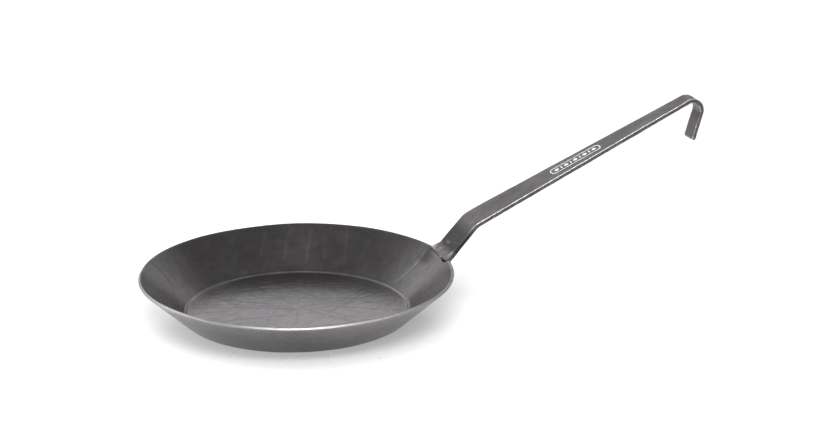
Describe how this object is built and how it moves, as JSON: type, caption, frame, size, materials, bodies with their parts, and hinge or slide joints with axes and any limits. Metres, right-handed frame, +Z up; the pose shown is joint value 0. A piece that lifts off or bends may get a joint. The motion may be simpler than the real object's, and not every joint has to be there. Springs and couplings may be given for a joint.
{
  "type": "forged iron frying pan",
  "caption": "Shallow round forged iron pan with sloping wall and a long flat bar handle that bends up from the rim and ends in a hanging hook.",
  "frame": {"origin": "centre of the flat base, on the surface the pan stands on", "axes": "+X from the pan's centre towards the handle's hook, +Z up, +Y completes the right-handed frame"},
  "size_m": [0.5329, 0.2796, 0.158],
  "materials": {
    "forged_iron": "hot-forged scale, semi-matt, rim ground bare",
    "handle_iron": "hot-forged scale with worn bright edges",
    "weld_metal": "rippled weld bead, brushed",
    "mark_print": "thin matt print"
  },
  "bodies": {
    "root": {"pan_body": "forged_iron", "handle": "handle_iron", "foot_weld": "weld_metal", "handle_mark": "mark_print"}
  },
  "joints": []
}
